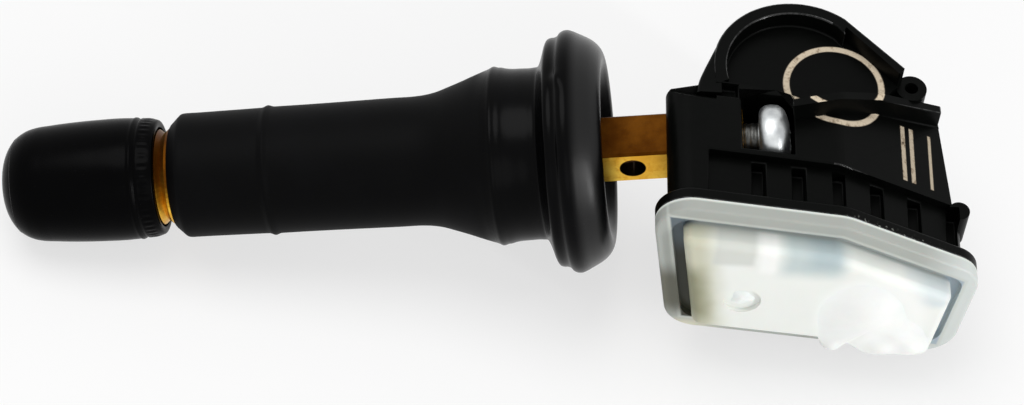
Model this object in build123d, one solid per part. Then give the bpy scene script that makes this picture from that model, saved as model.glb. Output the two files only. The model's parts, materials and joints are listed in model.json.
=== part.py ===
import os
from math import cos, radians, sin, tan

from build123d import *

# Attitude of the part as it lies on a flat surface, degrees
stem_tilt = 11.0
label_tilt = 6.5
text_slope = 25.5

# Rubber stem, radii and lengths along its axis from the middle of the rim groove
groove_radius = 6.95
groove_width = 2.2
bead_height = 0.25
bead_width = 2.0
bead_crown = 0.8
cone_length = 5.3
sleeve_root_radius = 5.25
sleeve_end_radius = 5.0
sleeve_length = 20.5
sleeve_end_round = 0.6
ring_place = 12.7
ring_height = 0.2
ring_width = 0.7
flange_radius = 9.75
flange_face_rake = 0.65
flange_thickness = 5.35
first_roll_drop = 0.6
first_roll_width = 1.5
lip_fall = 1.1
dish_rim_drop = 2.7
dish_depth = 2.05

# Brass stem
thread_radius = 3.85
thread_pitch = 0.794
thread_depth = 0.35
thread_buried = 3.0
thread_show = 1.3
waist_radius = 3.3
anchor_radius = 5.0
anchor_length = 3.4
neck_radius = 3.1
neck_proud = 0.5
tail_width = 4.1
tail_height = 3.5
tail_edge = 0.2
tail_gap_length = 5.3
cross_hole_radius = 1.03
cross_hole_shift = 0.55
air_radius = 1.2
bond_gap = 0.02

# Screw cap and its seal
cap_length = 13.2
cap_radius = 4.95
cap_tip_radius = 4.5
cap_skirt_round = 0.45
cap_dome_length = 2.9
cap_dome_bulge = 0.75
cap_flat_radius = 1.6
cap_roof = 1.5
cap_thread_clearance = 0.08
seal_thickness = 1.0
seal_clearance = 0.1

# Valve core
core_thread_radius = 2.55
core_thread_length = 4.6
core_recess = 0.6
core_barrel_radius = 1.75
core_barrel_length = 10.6
core_bore_radius = 1.1
core_bridge = 0.8
core_shoulder = 2.4
core_fit = 0.05
chamber_step = 0.35
gasket_length = 2.2
gasket_place = 0.8
pin_radius = 0.45
pin_travel = 1.2
pin_proud = 0.25
collar_radius = 0.95
collar_length = 0.6
cup_length = 1.3
spring_wire = 0.16
spring_turns = 6
guide_air = 0.2

# Sensor face: outline of the welded flange, seen from the front
kink_x = 24.3
kink_z = 6.2
left_side_x = 10.1
left_lean = 10.0
right_side_x = 35.7
right_lean = 5.0
bottom_z = -9.25
bottom_tilt = 6.0
corner_round = 2.8
bottom_round = 3.0
kink_round = 4.0

# Housing
weld_y = -9.1
flange_plate = 1.1
flange_edge = 0.3
flange_overhang = 1.0
wall = 1.2
hood_x = 20.8
hood_y = 5.2
hood_radius = 6.8
hood_wall = 1.1
shoulder_wall = 0.55
hood_height = 1.6
hood_start = 54.0
hood_end = 194.0
tower_back_y = 2.75
tower_bevel = 1.1
tower_length = 6.8
back_chamfer_x = 29.5
back_chamfer_y = 5.9
right_back_y = 4.9
right_inset = 2.0
right_taper = 0.8
rail_y = -3.35
rail_start_x = 13.4
rail_drop = 0.85
rail_lip = 0.2
rail_reach = 1.4
knob_radius = 0.85
knob_setback = 0.55
knob_height = 3.5
pocket_count = 6
pocket_pitch = 3.24
pocket_width = 1.1
pocket_depth = 1.2
pocket_start_x = 17.5
cup_drop = 0.5
rib_start_x = 19.6
rib_start_y = 0.25
rib_kink_y = 1.9
rib_bend_x = 27.5
rib_bend_y = 3.2
rib_end_y = 4.2
rib_width = 0.7
rib_height = 1.85
boss_radius = 1.25
boss_x = 30.3
boss_y = 5.5
boss_rise = 1.9
boss_hole_radius = 0.55
relief_x = 15.0
relief_y = 2.75
relief_length = 1.8
relief_width = 1.3
relief_depth = 1.0
screw_room = 0.1
screw_end_room = 0.3
socket_fit = 0.05

# Retaining screw
screw_head_radius = 2.75
screw_head_height = 2.5
screw_crown = 0.8
screw_crown_bulge = 0.6
screw_stand_off = 1.3
screw_shank_radius = 1.45
screw_shank_length = 5.4
drive_radius = 1.35
drive_lobe_width = 0.7
drive_core_radius = 0.95
drive_depth = 1.2

# Cover
cover_flange = 1.2
cover_edge = 0.25
cover_step = 1.6
cover_wall = 1.0
groove_inset = 1.3
groove_floor = 0.6
channel_width = 0.9
panel_round = 0.8
port_x = 16.9
port_z = -2.0
port_radius = 0.6
port_dish_radius = 1.5
port_dish_depth = 0.35

# Sealant on the cover: lens-shaped dabs, a round seam along the panel's lower edge and a lump on it
mound_x = 27.0
mound_z = -2.4
mound_reach = 4.4
mound_height = 0.95
smear_x = 29.6
smear_z = -5.2
smear_reach = 3.0
smear_height = 0.8
seam_start_x = 25.8
seam_end_x = 31.6
seam_radius = 0.85
lump_x = 30.6
lump_radius = 1.3

# Electronics
cell_radius = 6.25
cell_height = 2.5
cell_edge = 0.3
cell_shift_x = 0.85
cell_shift_y = -2.45
cell_gap = 0.6
tab_thickness = 0.2
tab_width = 3.0
board_thickness = 0.8
board_clearance = 0.4
board_setback = 2.6
chip_size = 4.0
chip_height = 1.5
coil_length = 7.0
coil_thickness = 1.7
coil_flange = 0.9
coil_from_right = 8.3
coil_rise = 1.05
winding_gap = 0.05
crystal_length = 3.2
crystal_width = 2.5
crystal_height = 0.8
crystal_gap = 0.4
capacitor_count = 4
capacitor_length = 1.2
capacitor_width = 0.7
capacitor_pitch = 1.6
capacitor_gap = 1.0
antenna_wire = 0.35
antenna_gap = 0.15
antenna_length = 7.5
potting_gap = 0.05

# Places along the stem axis that several pieces share
groove_end = groove_width / 2
cone_top = -groove_end - bead_width
sleeve_root = cone_top - cone_length
sleeve_end = sleeve_root - sleeve_length
cap_skirt = sleeve_end - thread_show
cap_tip = cap_skirt - cap_length
nose = cap_tip + cap_roof + seal_thickness + seal_clearance
flange_end = groove_end + flange_thickness
dish_floor = flange_end - dish_depth
anchor_start = groove_end - anchor_length / 2
anchor_end = anchor_start + anchor_length
neck_end = dish_floor + neck_proud
tower_face = neck_end + tail_gap_length
tower_end = tower_face + tower_length
cross_hole_place = (neck_end + tower_face) / 2 + cross_hole_shift
core_start = nose + core_recess
core_thread_end = core_start + core_thread_length
barrel_end = core_thread_end + core_barrel_length
chamber_radius = core_thread_radius - chamber_step
chamber_end = barrel_end + cup_length + pin_travel + core_recess
screw_head_place = tower_end + screw_stand_off
screw_pocket_side = screw_head_radius + screw_room

# Places across the sensor that several pieces share
back_y = hood_y + hood_radius
rail_back_y = weld_y + flange_plate
board_y = weld_y + board_setback
board_front = board_y - board_thickness
panel_y = weld_y - cover_flange - cover_step
panel_inset = groove_inset + channel_width
cup_level = kink_z - flange_overhang - cup_drop
pocket_floor = tower_end * sin(radians(stem_tilt)) - screw_pocket_side / cos(radians(stem_tilt))
cell_top = pocket_floor - wall - cell_gap
cell_x = hood_x + cell_shift_x
cell_y = hood_y + cell_shift_y
coil_x = right_side_x - coil_from_right
coil_z = bottom_z + flange_overhang + wall + board_clearance + coil_rise
high_z = kink_z + hood_radius
low_z = bottom_z - hood_radius


def on_stem(solid):
    return Rot(0, -stem_tilt, 0) * solid


def turned(*lines):
    outline = Curve() + list(lines)
    return revolve(make_face(outline.edges()), axis=Axis.X)


def rod(start, end, radius):
    return Pos((start + end) / 2, 0, 0) * Rot(0, 90, 0) * Cylinder(radius, end - start)


def block(x_low, x_high, y_low, y_high, z_low, z_high):
    centre = Pos((x_low + x_high) / 2, (y_low + y_high) / 2, (z_low + z_high) / 2)
    return centre * Box(x_high - x_low, y_high - y_low, z_high - z_low)


def across(radius, length):
    return Rot(90, 0, 0) * Cylinder(radius, length)


def along_y(face, y_near, y_far):
    return Pos(0, y_far, 0) * extrude(Plane.XZ * face, amount=y_far - y_near)


def upright(face, z_low, z_high):
    return Pos(0, 0, z_low) * extrude(face, amount=z_high - z_low)


def polygon(*points):
    return make_face(Polyline(*points, close=True).edges())


def meet(first, first_angle, second, second_angle):
    # crossing of two lines, each given by a point and its angle in degrees
    ux, uz = cos(radians(first_angle)), sin(radians(first_angle))
    vx, vz = cos(radians(second_angle)), sin(radians(second_angle))
    dx, dz = second[0] - first[0], second[1] - first[1]
    share = (dx * vz - dz * vx) / (ux * vz - uz * vx)
    return (first[0] + share * ux, first[1] + share * uz)


# Rubber, brass and cap
def brass_steps(gap):
    thread_end = sleeve_end + thread_buried
    return [
        (nose, thread_radius + gap),
        (thread_end, thread_radius + gap),
        (thread_end, waist_radius + gap),
        (anchor_start - gap, waist_radius + gap),
        (anchor_start - gap, anchor_radius + gap),
        (anchor_end + gap, anchor_radius + gap),
        (anchor_end + gap, neck_radius + gap),
        (neck_end, neck_radius + gap),
    ]


def sleeve_lines():
    shrink = (sleeve_root_radius - sleeve_end_radius) / sleeve_length
    ring_start = (sleeve_root - ring_place - ring_width / 2, sleeve_root_radius - shrink * ring_place)
    ring_top = (sleeve_root - ring_place, ring_start[1] + ring_height)
    ring_end = (sleeve_root - ring_place + ring_width / 2, ring_start[1])
    mouth = (sleeve_end, sleeve_end_radius - sleeve_end_round)
    shoulder = (sleeve_end + sleeve_end_round, sleeve_end_radius)
    return [
        Line((sleeve_end, thread_radius + bond_gap), mouth),
        RadiusArc(mouth, shoulder, sleeve_end_round),
        Line(shoulder, ring_start),
        ThreePointArc(ring_start, ring_top, ring_end),
        Line(ring_end, (sleeve_root, sleeve_root_radius)),
        Line((sleeve_root, sleeve_root_radius), (cone_top, groove_radius)),
    ]


def bead_lines():
    # bead that snaps through the rim: a short cylinder with rounded flanks
    top = groove_radius + bead_height
    flank = (bead_width - bead_crown) / 2
    crown_start = (cone_top + flank, top)
    crown_end = (cone_top + flank + bead_crown, top)
    return [
        TangentArc(crown_start, (cone_top, groove_radius), tangent=(-1, 0)),
        Line(crown_start, crown_end),
        TangentArc(crown_end, (-groove_end, groove_radius), tangent=(1, 0)),
        Line((-groove_end, groove_radius), (groove_end, groove_radius)),
    ]


def lip_lines():
    roll_radius = flange_radius - first_roll_drop
    face_top = (groove_end + flange_face_rake, roll_radius - sleeve_end_round)
    roll_end = (face_top[0] + first_roll_width, roll_radius)
    roll_top = (face_top[0] + first_roll_width / 3, roll_radius - sleeve_end_round / 6)
    lip_end = (flange_end - sleeve_end_round, flange_radius - lip_fall)
    rim = (lip_end[0], flange_radius - dish_rim_drop)
    dish_middle = ((lip_end[0] + 2 * dish_floor) / 3, (rim[1] + neck_radius) / 2)
    return [
        Line((groove_end, groove_radius), face_top),
        ThreePointArc(face_top, roll_top, roll_end),
        ThreePointArc(roll_end, ((roll_end[0] + lip_end[0]) / 2, flange_radius), lip_end),
        ThreePointArc(lip_end, (flange_end, (lip_end[1] + rim[1]) / 2), rim),
        ThreePointArc(rim, dish_middle, (dish_floor, neck_radius + bond_gap)),
    ]


def make_rubber_stem():
    inner = [(sleeve_end, thread_radius + bond_gap)] + brass_steps(bond_gap)[1:-1]
    inner.append((dish_floor, neck_radius + bond_gap))
    return on_stem(turned(*sleeve_lines(), *bead_lines(), *lip_lines(), Polyline(*inner)))


def thread_teeth():
    # rings that stand for the valve thread, from the nose to the rubber sleeve
    count = round((sleeve_end - nose) / thread_pitch)
    teeth = []
    for turn in range(count):
        start = nose + turn * thread_pitch
        teeth.append((start, thread_radius - thread_depth))
        teeth.append((start + thread_pitch / 2, thread_radius))
    return teeth


def make_brass_stem():
    steps = [(nose, 0)] + thread_teeth() + brass_steps(0)[1:] + [(neck_end, 0)]
    tail = block(anchor_end, tower_end, -tail_width / 2, tail_width / 2, -tail_height / 2, tail_height / 2)
    stem = turned(Polyline(*steps, close=True)) + chamfer(tail.edges().filter_by(Axis.X), tail_edge)
    stem -= rod(nose, core_thread_end + core_recess, core_thread_radius + core_fit)
    stem -= rod(nose, chamber_end, chamber_radius)
    stem -= rod(nose, cross_hole_place + cross_hole_radius, air_radius)
    stem -= Pos(cross_hole_place, 0, 0) * across(cross_hole_radius, 2 * tail_width)
    stem -= rod(tower_end - screw_shank_length, tower_end, screw_shank_radius + core_fit)
    return on_stem(stem)


def make_valve_cap():
    bore = thread_radius + cap_thread_clearance
    skirt = (cap_skirt, cap_radius - cap_skirt_round)
    barrel = (cap_skirt - cap_skirt_round, cap_radius)
    dome = (cap_tip + cap_dome_length, cap_tip_radius)
    flat = (cap_tip, cap_flat_radius)
    bulge = cap_dome_bulge
    dome_mid = (dome[0] - bulge * cap_dome_length, dome[1] - (1 - bulge) * (cap_tip_radius - cap_flat_radius))
    roof = cap_tip + cap_roof
    outline = [
        Line((cap_skirt, bore), skirt),
        RadiusArc(skirt, barrel, -cap_skirt_round),
        Line(barrel, dome),
        ThreePointArc(dome, dome_mid, flat),
        Polyline(flat, (cap_tip, 0), (roof, 0), (roof, bore), (cap_skirt, bore)),
    ]
    return on_stem(turned(*outline))


def make_cap_seal():
    start = cap_tip + cap_roof
    return on_stem(rod(start, start + seal_thickness, thread_radius))


# Valve core
def make_core_body():
    body = rod(core_start, core_thread_end, core_thread_radius)
    body += rod(core_thread_end, barrel_end, core_barrel_radius)
    body -= rod(core_start + core_bridge, barrel_end - core_shoulder, core_bore_radius)
    body -= rod(core_start, barrel_end, pin_radius + core_fit)
    body -= rod(barrel_end - core_shoulder, barrel_end, pin_radius + guide_air)
    return on_stem(body)


def make_core_gasket():
    start = core_thread_end + gasket_place
    ring = rod(start, start + gasket_length, chamber_radius - core_fit)
    return on_stem(ring - rod(start, start + gasket_length, core_barrel_radius + bond_gap))


def make_core_pin():
    pin = rod(core_start - pin_proud, barrel_end + cup_length, pin_radius)
    collar = core_start + core_bridge + core_fit
    return on_stem(pin + rod(collar, collar + collar_length, collar_radius))


def make_core_cup():
    cup = rod(barrel_end + bond_gap, barrel_end + cup_length, core_barrel_radius)
    return on_stem(cup - rod(barrel_end, barrel_end + cup_length, pin_radius + bond_gap))


def make_core_spring():
    start = core_start + core_bridge + core_fit + collar_length + spring_wire
    end = barrel_end - core_shoulder - spring_wire
    radius = core_bore_radius - 2 * core_fit - spring_wire
    coil = Helix(pitch=(end - start) / spring_turns, height=end - start, radius=radius)
    section = Plane(origin=coil @ 0, z_dir=coil % 0) * Circle(spring_wire)
    wire = sweep(section, path=coil, is_frenet=True)
    return on_stem(Pos(start, 0, 0) * Rot(0, 90, 0) * wire)


# Front outline of the sensor and what follows it
def plate_level(x):
    edge = kink_z - flange_overhang
    if x < kink_x:
        return edge + (kink_x - x) * tan(radians(label_tilt))
    return edge - (x - kink_x) * tan(radians(text_slope))


def face_outline(inset=0.0):
    kink = (kink_x, kink_z)
    left = (left_side_x, 0)
    right = (right_side_x, 0)
    bottom = (kink_x, bottom_z)
    left_angle = 90 + left_lean
    right_angle = 90 - right_lean
    corners = [
        meet(left, left_angle, kink, -label_tilt),
        kink,
        meet(kink, -text_slope, right, right_angle),
        meet(right, right_angle, bottom, -bottom_tilt),
        meet(bottom, -bottom_tilt, left, left_angle),
    ]
    rounds = [corner_round, kink_round, corner_round, bottom_round, bottom_round]
    face = make_face(FilletPolyline(*corners, radius=rounds, close=True).edges())
    return offset(face, amount=-inset) if inset > 0 else face


def top_strip(drop):
    # strip of the body's front outline that lies less than drop under its upper edge
    face = face_outline(flange_overhang)
    return face - Pos(0, -drop) * face


def around_hood(angle, inset=0.0):
    radius = hood_radius - inset
    return (hood_x + radius * cos(radians(angle)), hood_y + radius * sin(radians(angle)))


def plan_outline(inset=0.0):
    # outline of the body from above: tower, round hood, sloping shoulder and straight right side
    left_x = left_side_x - kink_z * tan(radians(left_lean)) + flange_overhang + inset
    right_x = right_side_x - right_inset - inset
    rail_x = right_x + rail_reach
    foot = around_hood(hood_end, inset)
    hood_leave = around_hood(hood_start, inset)
    sides = Polyline(
        hood_leave,
        (back_chamfer_x - inset, back_chamfer_y - inset),
        (right_x - right_taper, right_back_y - inset),
        (right_x, rail_y),
        (rail_x, rail_y - rail_reach / 2),
        (rail_x, weld_y),
        (left_x, weld_y),
        (left_x, tower_back_y - inset),
        foot,
    )
    hood = ThreePointArc(foot, around_hood((hood_start + hood_end) / 2, inset), hood_leave)
    return make_face((Curve() + [sides, hood]).edges())


# Housing features
def rib_foot():
    # foot of the rib's front, from the screw pocket to the right edge
    return [
        (rib_start_x, rib_start_y),
        (kink_x, rib_kink_y),
        (rib_bend_x, rib_bend_y),
        (right_side_x - right_inset - right_taper, rib_end_y),
    ]


def behind_rib():
    pocket_corner = (rib_start_x, screw_pocket_side + screw_room + rib_width / 2)
    shoulder = (back_chamfer_x, back_chamfer_y)
    edge = [around_hood(hood_end), pocket_corner, *rib_foot()[1:3], shoulder]
    return polygon(*edge, (back_chamfer_x, back_y), (left_side_x, back_y))


def beside_hood():
    # strip to the right of the round hood, where the cup's wall is thinner
    low_x = around_hood(hood_start)[0]
    high_x = back_chamfer_x
    return polygon((low_x, rib_start_y), (high_x, rib_start_y), (high_x, back_y), (low_x, back_y))


def make_shell():
    # block of the body with its round hood, and the cup let into it behind the rib
    back = behind_rib()
    deep = (cup_level + bottom_z) / 2
    body = along_y(face_outline(flange_overhang), weld_y, back_y)
    body -= upright(back, deep, high_z)
    body += upright(back, deep, cup_level + hood_height)
    body &= upright(plan_outline(), low_z, high_z)
    body -= upright(plan_outline(hood_wall) & back, cup_level, high_z)
    return body - upright(plan_outline(shoulder_wall) & back & beside_hood(), cup_level, high_z)


def make_rib():
    foot = rib_foot()
    back = [(x, y + rib_width) for x, y in reversed(foot)]
    band = upright(polygon(*foot, *back), low_z, high_z)
    return band & Pos(0, 0, rib_height) * along_y(face_outline(flange_overhang), weld_y, back_y)


def make_screw_pocket():
    end = screw_head_place + screw_head_height + screw_end_room
    side = screw_pocket_side
    return on_stem(block(tower_end, end, -side, side, -side, 2 * hood_radius))


def make_socket():
    half_width = tail_width / 2 + socket_fit
    half_height = tail_height / 2 + socket_fit
    end = tower_end + socket_fit
    return on_stem(block(neck_end, end, -half_width, half_width, -half_height, half_height))


def make_tower_bevel():
    # flat that cuts off the tower's upper back edge
    end = around_hood(hood_end)[0]
    side = 2 * tower_bevel / 2**0.5
    edge = Pos(left_side_x, tower_back_y, plate_level(left_side_x)) * Rot(0, label_tilt, 0) * Rot(45, 0, 0)
    return edge * Box(2 * (end - left_side_x), side, side)


def make_rail_pockets():
    pockets = []
    for place in range(pocket_count):
        x = pocket_start_x + place * pocket_pitch
        floor = plate_level(x) - rail_drop - pocket_depth
        low_x = x - pocket_width / 2
        pockets.append(block(low_x, low_x + pocket_width, rail_back_y, rail_y - rail_lip, floor, high_z))
    return pockets


def make_knob():
    # rounded end of the rail at the right side
    right_x = right_side_x - right_inset
    knob_top = plate_level(right_x)
    place = Pos(right_x + rail_reach - knob_radius, rail_y - knob_setback, 0)
    return place * upright(Circle(knob_radius), knob_top - knob_height, knob_top)


def make_relief():
    low_x = relief_x - relief_length / 2
    low_y = relief_y - relief_width / 2
    floor = plate_level(relief_x) - relief_depth
    return block(low_x, low_x + relief_length, low_y, low_y + relief_width, floor, high_z)


def make_cavity():
    front = along_y(face_outline(flange_overhang + wall), weld_y, back_y)
    cavity = front & upright(plan_outline(wall), low_z, kink_z)
    pocket_end = screw_head_place + screw_head_height + screw_end_room + wall
    cavity -= block(0, pocket_end, rail_y - wall, back_y, cell_top + cell_gap, high_z)
    cavity -= along_y(top_strip(rail_drop + pocket_depth + wall), weld_y, rail_y)
    return cavity - along_y(top_strip(cup_drop + wall), rail_y, back_y)


def make_housing():
    body = make_shell()
    rail = along_y(top_strip(rail_drop), weld_y, rail_y)
    body -= rail & block(rail_start_x, right_side_x, weld_y, back_y, low_z, high_z)
    body -= make_tower_bevel()
    body += make_rib()
    body += make_knob()
    boss = Pos(boss_x, boss_y, 0)
    boss_top = plate_level(boss_x) + boss_rise
    body += boss * upright(Circle(boss_radius), plate_level(boss_x) - boss_rise, boss_top)
    flange = along_y(face_outline(), weld_y, rail_back_y)
    body += fillet(flange.faces().sort_by(Axis.Y)[-1].edges(), flange_edge)
    body -= make_cavity()
    body -= boss * upright(Circle(boss_hole_radius), boss_top - boss_rise, boss_top)
    body -= make_screw_pocket()
    body -= make_socket()
    body -= make_relief()
    for pocket in make_rail_pockets():
        body -= pocket
    return body


# Screw that holds the housing on the brass tail
def make_retaining_screw():
    tip = tower_end - screw_shank_length
    rim = screw_head_place + screw_head_height - screw_crown
    crown = screw_head_place + screw_head_height
    crown_mid = (crown - screw_crown / 4, screw_head_radius * screw_crown_bulge)
    outline = [
        Polyline(
            (tip, 0),
            (tip, screw_shank_radius),
            (screw_head_place, screw_shank_radius),
            (screw_head_place, screw_head_radius),
            (rim, screw_head_radius),
        ),
        ThreePointArc((rim, screw_head_radius), crown_mid, (crown, 0)),
        Line((crown, 0), (tip, 0)),
    ]
    lobes = Circle(drive_core_radius)
    for turn in range(3):
        lobes += Rot(0, 0, 60 * turn) * SlotOverall(2 * drive_radius, drive_lobe_width)
    drive = Pos(crown - drive_depth, 0, 0) * Rot(0, 90, 0) * extrude(lobes, amount=2 * drive_depth)
    return on_stem(turned(*outline) - drive)


# Translucent cover with its raised panel and pressure port
def make_cover():
    front = weld_y - cover_flange
    rim = along_y(face_outline(), front, weld_y)
    cover = fillet(rim.faces().sort_by(Axis.Y)[0].edges(), cover_edge)
    raised = along_y(face_outline(panel_inset), panel_y, front)
    cover += fillet(raised.faces().sort_by(Axis.Y)[0].edges(), panel_round)
    cover -= along_y(face_outline(groove_inset) - face_outline(panel_inset), front, weld_y - groove_floor)
    cover -= along_y(face_outline(panel_inset + cover_wall), panel_y + cover_wall, weld_y)
    port = Pos(port_x, panel_y, port_z)
    cover -= port * across(port_radius, 4 * cover_wall)
    return cover - port * across(port_dish_radius, 2 * port_dish_depth)


def make_dab(x, z, reach, height):
    # lens-shaped dab: cap of a sphere that stands on the panel
    radius = (reach**2 + height**2) / (2 * height)
    cap = Pos(x, panel_y + radius - height, z) * Sphere(radius)
    return cap & block(x - reach, x + reach, panel_y - radius, panel_y, z - reach, z + reach)


def panel_low_edge(x):
    return bottom_z + panel_inset - (x - kink_x) * tan(radians(bottom_tilt))


def make_seam():
    # round seam with ball ends that follows the panel's lower edge
    length = seam_end_x - seam_start_x
    middle = (seam_start_x + seam_end_x) / 2
    seam = Cylinder(seam_radius, length) + Pos(0, 0, -length / 2) * Sphere(seam_radius)
    seam += Pos(0, 0, length / 2) * Sphere(seam_radius)
    place = Pos(middle, panel_y, panel_low_edge(middle) + seam_radius / 2)
    return place * Rot(0, 90 + bottom_tilt, 0) * seam


def make_sealant(cover):
    seal = make_dab(mound_x, mound_z, mound_reach, mound_height)
    seal += make_dab(smear_x, smear_z, smear_reach, smear_height)
    seal += make_seam()
    seal += Pos(lump_x, panel_y, panel_low_edge(lump_x) + lump_radius / 2) * Sphere(lump_radius)
    seal -= cover
    return seal - along_y(face_outline(panel_inset), panel_y, weld_y)


# Electronics
def make_coin_cell():
    cell = Pos(cell_x, cell_y, cell_top - cell_height / 2) * Cylinder(cell_radius, cell_height)
    return chamfer(cell.edges().filter_by(GeomType.CIRCLE), cell_edge)


def make_cell_tab(z_low, side):
    low_x = cell_x + side * cell_radius / 3 - tab_width / 2
    return block(low_x, low_x + tab_width, board_y, cell_y, z_low, z_low + tab_thickness)


def make_circuit_board():
    roof = rail_drop + pocket_depth + wall + board_clearance
    outline = face_outline(flange_overhang + wall + board_clearance) - top_strip(roof)
    return along_y(outline, board_front, board_y)


def on_board(x, z, length, width, height):
    low_x = x - length / 2
    low_z_here = z - width / 2
    return block(low_x, low_x + length, board_front - height, board_front, low_z_here, low_z_here + width)


def make_pressure_chip():
    chip = on_board(port_x, port_z, chip_size, chip_size, chip_height)
    return chip - Pos(port_x, board_front - chip_height, port_z) * across(port_radius, chip_height / 2)


def make_port_gasket():
    ring = Circle(port_dish_radius) - Circle(port_radius)
    return Pos(port_x, 0, port_z) * along_y(ring, panel_y + cover_wall, board_front - chip_height)


def coil_piece(length, thickness):
    # bar of the coil, centred over its place at half the coil's height
    lift = (coil_thickness - thickness) / 2
    return Pos(0, -lift, 0) * on_board(coil_x, coil_z, length, thickness, thickness)


def make_lf_coil_core():
    waist = coil_length - 2 * coil_flange
    core = coil_piece(coil_length, coil_thickness) - coil_piece(waist, 2 * coil_thickness)
    return core + coil_piece(waist, coil_thickness / 2)


def make_lf_coil_winding():
    waist = coil_length - 2 * coil_flange - 2 * winding_gap
    return coil_piece(waist, coil_thickness) - coil_piece(2 * waist, coil_thickness / 2)


def capacitor_place(place):
    return port_x + chip_size / 2 + capacitor_gap + place * capacitor_pitch


def make_chip_capacitors():
    size = (capacitor_width, capacitor_length, capacitor_width)
    return Compound([on_board(capacitor_place(n), port_z, *size) for n in range(capacitor_count)])


def make_crystal():
    x = capacitor_place(capacitor_count - 1) + (capacitor_width + crystal_length) / 2 + crystal_gap
    z = coil_z + (coil_thickness + crystal_width) / 2 + crystal_gap
    return on_board(x, z, crystal_length, crystal_width, crystal_height)


def make_antenna():
    y = board_front - chip_height - 2 * antenna_wire
    z = port_z + chip_size / 2 + antenna_wire + antenna_gap
    left = port_x - chip_size / 2
    right = left + antenna_length
    points = [(right, board_front, z), (right, y, z), (left, y, z), (left, board_front, z)]
    path = FilletPolyline(*points, radius=2 * antenna_wire)
    section = Plane(origin=path @ 0, z_dir=path % 0) * Circle(antenna_wire)
    return sweep(section, path=path)


def make_potting(inner_pieces):
    gel = make_cavity()
    inset = panel_inset + cover_wall + potting_gap
    gel += along_y(face_outline(inset), panel_y + cover_wall + potting_gap, weld_y)
    for piece in inner_pieces:
        gel -= piece
    return gel - Pos(port_x, panel_y, port_z) * across(port_radius, 4 * board_setback)


def main():
    parts = {
        "valve_cap": make_valve_cap(),
        "cap_seal": make_cap_seal(),
        "rubber_stem": make_rubber_stem(),
        "brass_stem": make_brass_stem(),
        "core_body": make_core_body(),
        "core_gasket": make_core_gasket(),
        "core_pin": make_core_pin(),
        "core_cup": make_core_cup(),
        "core_spring": make_core_spring(),
        "retaining_screw": make_retaining_screw(),
        "housing": make_housing(),
        "cover": make_cover(),
    }
    parts["sealant"] = make_sealant(parts["cover"])
    inner = {
        "coin_cell": make_coin_cell(),
        "cell_tab_top": make_cell_tab(cell_top, 1),
        "cell_tab_bottom": make_cell_tab(cell_top - cell_height - tab_thickness, -1),
        "circuit_board": make_circuit_board(),
        "pressure_chip": make_pressure_chip(),
        "port_gasket": make_port_gasket(),
        "lf_coil_core": make_lf_coil_core(),
        "lf_coil_winding": make_lf_coil_winding(),
        "crystal": make_crystal(),
        "chip_capacitors": make_chip_capacitors(),
        "antenna": make_antenna(),
    }
    parts.update(inner)
    parts["potting"] = make_potting(inner.values())
    os.makedirs("parts", exist_ok=True)
    for name, solid in parts.items():
        export_step(solid, f"parts/{name}.step")


main()
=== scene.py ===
import json

import bmesh
import bpy
import numpy as np
from mathutils import Matrix, Vector


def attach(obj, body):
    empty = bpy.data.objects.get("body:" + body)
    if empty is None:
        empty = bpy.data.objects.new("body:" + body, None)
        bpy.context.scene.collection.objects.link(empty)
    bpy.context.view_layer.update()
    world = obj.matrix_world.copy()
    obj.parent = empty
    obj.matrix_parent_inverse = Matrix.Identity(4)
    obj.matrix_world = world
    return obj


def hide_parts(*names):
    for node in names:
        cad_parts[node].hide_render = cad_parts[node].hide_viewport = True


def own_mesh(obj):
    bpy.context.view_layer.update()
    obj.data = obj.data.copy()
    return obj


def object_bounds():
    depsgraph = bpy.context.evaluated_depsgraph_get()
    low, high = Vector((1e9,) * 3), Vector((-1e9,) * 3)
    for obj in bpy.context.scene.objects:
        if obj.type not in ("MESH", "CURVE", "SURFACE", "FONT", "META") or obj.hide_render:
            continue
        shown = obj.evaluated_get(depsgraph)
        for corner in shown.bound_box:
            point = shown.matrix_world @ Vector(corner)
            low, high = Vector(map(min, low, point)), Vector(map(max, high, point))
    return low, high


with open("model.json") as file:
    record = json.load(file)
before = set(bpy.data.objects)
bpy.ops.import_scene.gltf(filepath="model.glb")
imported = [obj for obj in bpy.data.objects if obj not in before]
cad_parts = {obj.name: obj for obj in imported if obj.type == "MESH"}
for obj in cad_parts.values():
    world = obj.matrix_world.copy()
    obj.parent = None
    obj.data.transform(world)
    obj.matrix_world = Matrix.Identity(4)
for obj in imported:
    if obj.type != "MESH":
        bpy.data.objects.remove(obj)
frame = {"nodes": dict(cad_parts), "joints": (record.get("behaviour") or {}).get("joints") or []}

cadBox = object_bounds()
print("frame loaded:", len(frame["nodes"]), "nodes")

# lengths are millimetres, and "along" is a place on the stem's tilted axis
metre = 0.001
stem = {"tilt": 11.0}  # degrees


def stemPoint(along, radius, turn):
    # point = along * axis + radius * (cos turn * sideways + sin turn * upwards), axis tilted by stem tilt
    tilt = np.radians(stem["tilt"])
    axis = np.array([np.cos(tilt), 0.0, np.sin(tilt)])
    upwards = np.array([-np.sin(tilt), 0.0, np.cos(tilt)])
    sideways = np.array([0.0, -1.0, 0.0])
    along, radius, turn = np.broadcast_arrays(along, radius, turn)
    return (along[..., None] * axis + (radius * np.cos(turn))[..., None] * sideways
            + (radius * np.sin(turn))[..., None] * upwards)


def stemAlong(x, z):
    # place on the tilted axis, from shader values
    tilt = np.radians(stem["tilt"])
    return x * float(np.cos(tilt)) + z * float(np.sin(tilt))


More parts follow.
